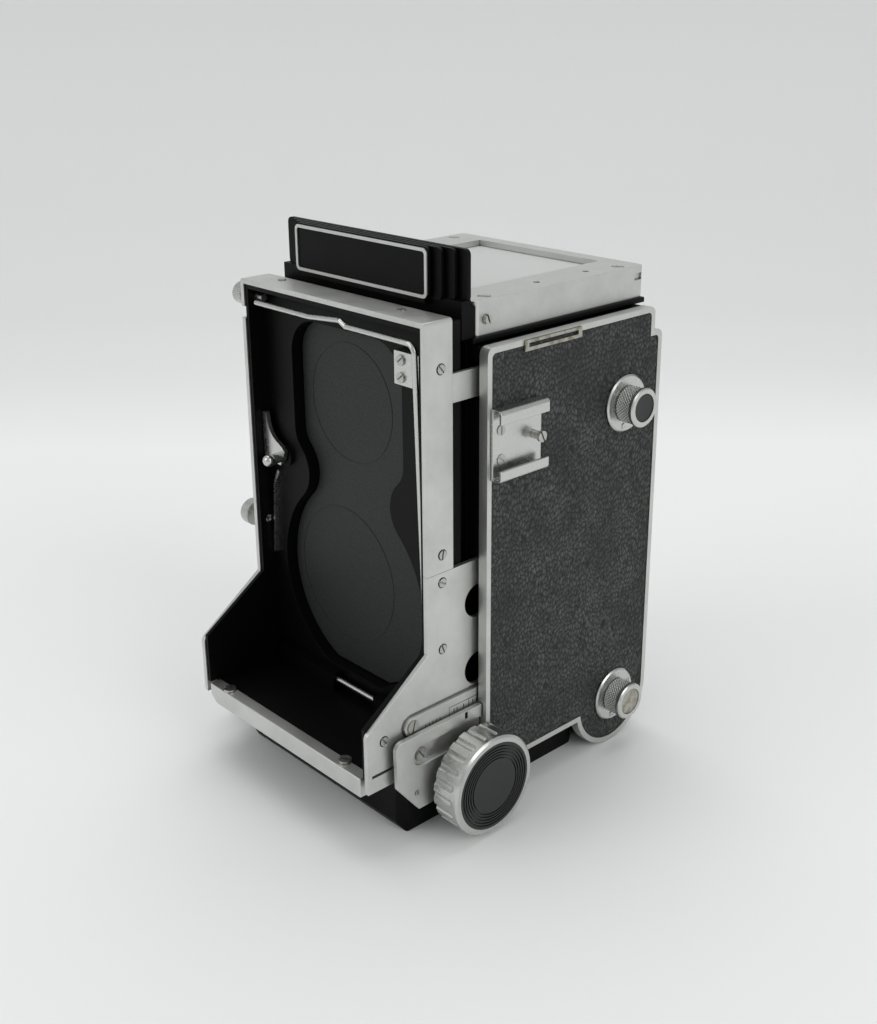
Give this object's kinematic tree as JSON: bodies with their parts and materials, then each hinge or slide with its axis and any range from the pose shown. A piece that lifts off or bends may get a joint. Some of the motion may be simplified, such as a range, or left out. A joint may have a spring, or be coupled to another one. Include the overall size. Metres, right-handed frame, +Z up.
{
  "type": "twin lens reflex camera",
  "caption": "Medium-format twin lens reflex camera body with a rack-focused lens standard, bellows, film chambers, shoe and rear door, without its lenses and hood",
  "frame": {"origin": "centre of the tripod socket at the base plane the camera stands on", "axes": "+Z up, -Y to the front where the lenses sit, +X to the user's left side with the accessory shoe"},
  "size_m": [0.1127, 0.1147, 0.167],
  "materials": {
    "black_casting": "satin",
    "black_paint": "satin",
    "satin_metal": "satin",
    "leatherette": "matte",
    "steel": "satin",
    "chrome": "polished",
    "ground_glass": "frosted",
    "mirror": "polished",
    "brass": "worn",
    "bellows_cloth": "matte",
    "dust_plate": "matte",
    "black_plastic": "satin"
  },
  "bodies": {
    "camera_body": {"body_casting": "black_casting", "left_side_cover": "satin_metal", "right_side_cover": "satin_metal", "side_leatherettes": "leatherette", "base_block": "black_casting", "tripod_socket": "steel", "focus_brackets": "satin_metal", "body_screws": "steel", "hood_seat_frame": "satin_metal", "focusing_screen": "ground_glass", "screen_retainer": "black_paint", "top_light_seal": "black_paint", "reflex_mirror": "mirror", "mirror_holder": "black_paint", "nameplate_housing": "black_paint", "nameplate_bezel": "satin_metal", "accessory_shoe": "chrome", "shoe_screws": "steel", "spool_flanges": "chrome", "winding_flange": "chrome", "film_gate": "steel", "strap_lugs": "brass", "door_hinge_pin": "steel", "bellows_rear_frame": "black_paint"},
    "lens_standard": {"bellows_front_frame": "black_paint", "bellows": "bellows_cloth", "standard_frame": "satin_metal", "left_side_plate": "satin_metal", "right_side_plate": "satin_metal", "lens_seat_casting": "black_casting", "standard_floor": "black_paint", "floor_trim_strip": "satin_metal", "standard_screws": "steel", "focus_scale": "satin_metal", "locating_plate": "chrome", "guide_bars": "satin_metal", "bail_clips": "black_paint", "lever_spring": "chrome"},
    "focus_drive": {"focus_shaft": "steel", "focus_pinions": "steel", "left_focus_knob": "chrome", "right_focus_knob": "chrome", "focus_knob_caps": "black_plastic"},
    "wire_bail": {"lens_bail": "chrome"},
    "bail_latch": {"bail_latch_knob": "chrome"},
    "shutter_button": {"release_button": "chrome"},
    "shutter_lever": {"release_lever": "chrome"},
    "dust_cover": {"dust_plate": "dust_plate"},
    "upper_collar": {"upper_spool_collar": "steel"},
    "upper_knob": {"upper_spool_knob": "chrome"},
    "lower_collar": {"lower_spool_collar": "steel"},
    "lower_knob": {"lower_spool_knob": "chrome"},
    "winder": {"winding_knob": "chrome"},
    "spool": {"take_up_spool": "black_plastic"},
    "upper_roller": {"upper_film_roller": "steel"},
    "lower_roller": {"lower_film_roller": "steel"},
    "rear_door": {"back_door": "black_casting", "door_leatherette": "leatherette"},
    "film_pressure": {"pressure_plate": "black_paint"},
    "door_catch": {"back_latch": "chrome"}
  },
  "joints": [
    {"name": "standard_rack", "type": "slide", "parent": "camera_body", "child": "lens_standard", "axis": [0, -1, 0], "range_m": [0, 0.045], "deforming": ["bellows"]},
    {"name": "focus_turn", "type": "hinge", "parent": "camera_body", "child": "focus_drive", "pos_m": [0, -0.0185, 0.0163], "axis": [1, 0, 0], "range_deg": [0, 430]},
    {"name": "bail_swing", "type": "hinge", "parent": "lens_standard", "child": "wire_bail", "pos_m": [0, -0.0262, 0.029], "axis": [1, 0, 0], "range_deg": [0, 80]},
    {"name": "bail_latch_pull", "type": "slide", "parent": "lens_standard", "child": "bail_latch", "axis": [-1, 0, 0], "range_m": [0, 0.003], "stiffness_N_per_m": 150},
    {"name": "release_press", "type": "slide", "parent": "lens_standard", "child": "shutter_button", "axis": [1, 0, 0], "range_m": [0, 0.003], "stiffness_N_per_m": 150},
    {"name": "release_rock", "type": "hinge", "parent": "lens_standard", "child": "shutter_lever", "pos_m": [-0.029, -0.0265, 0.0965], "axis": [0, 1, 0], "range_deg": [0, 8]},
    {"name": "dust_plate_out", "type": "slide", "parent": "lens_standard", "child": "dust_cover", "axis": [0, -1, 0], "range_m": [0, 0.045]},
    {"name": "upper_pin_pull", "type": "slide", "parent": "camera_body", "child": "upper_collar", "axis": [1, 0, 0], "range_m": [0, 0.006], "stiffness_N_per_m": 250},
    {"name": "upper_pin_spin", "type": "hinge", "parent": "upper_collar", "child": "upper_knob", "pos_m": [0, 0.0457, 0.1144], "axis": [1, 0, 0], "continuous": true},
    {"name": "lower_pin_pull", "type": "slide", "parent": "camera_body", "child": "lower_collar", "axis": [1, 0, 0], "range_m": [0, 0.006], "stiffness_N_per_m": 250},
    {"name": "lower_pin_spin", "type": "hinge", "parent": "lower_collar", "child": "lower_knob", "pos_m": [0, 0.0457, 0.0167], "axis": [1, 0, 0], "continuous": true},
    {"name": "winder_spin", "type": "hinge", "parent": "camera_body", "child": "winder", "pos_m": [0, 0.0457, 0.1144], "axis": [1, 0, 0], "continuous": true},
    {"name": "spool_spin", "type": "hinge", "parent": "camera_body", "child": "spool", "pos_m": [0, 0.0457, 0.1144], "axis": [1, 0, 0], "continuous": true},
    {"name": "upper_roller_spin", "type": "hinge", "parent": "camera_body", "child": "upper_roller", "pos_m": [0, 0.0522, 0.094], "axis": [1, 0, 0], "continuous": true},
    {"name": "lower_roller_spin", "type": "hinge", "parent": "camera_body", "child": "lower_roller", "pos_m": [0, 0.0522, 0.0302], "axis": [1, 0, 0], "continuous": true},
    {"name": "door_swing", "type": "hinge", "parent": "camera_body", "child": "rear_door", "pos_m": [0, 0.0415, 0.002], "axis": [-1, 0, 0], "range_deg": [0, 100]},
    {"name": "pressure_plate_give", "type": "slide", "parent": "rear_door", "child": "film_pressure", "axis": [0, 1, 0], "range_m": [0, 0.0015], "stiffness_N_per_m": 600},
    {"name": "latch_lift", "type": "slide", "parent": "camera_body", "child": "door_catch", "axis": [0, 0, 1], "range_m": [0, 0.0015]}
  ],
  "couplings": [
    {"joint": "focus_turn", "follows": "standard_rack", "rad_per_m": 166.67},
    {"joint": "release_rock", "follows": "release_press", "rad_per_m": 46.532},
    {"joint": "spool_spin", "follows": "winder_spin", "ratio": 1}
  ]
}
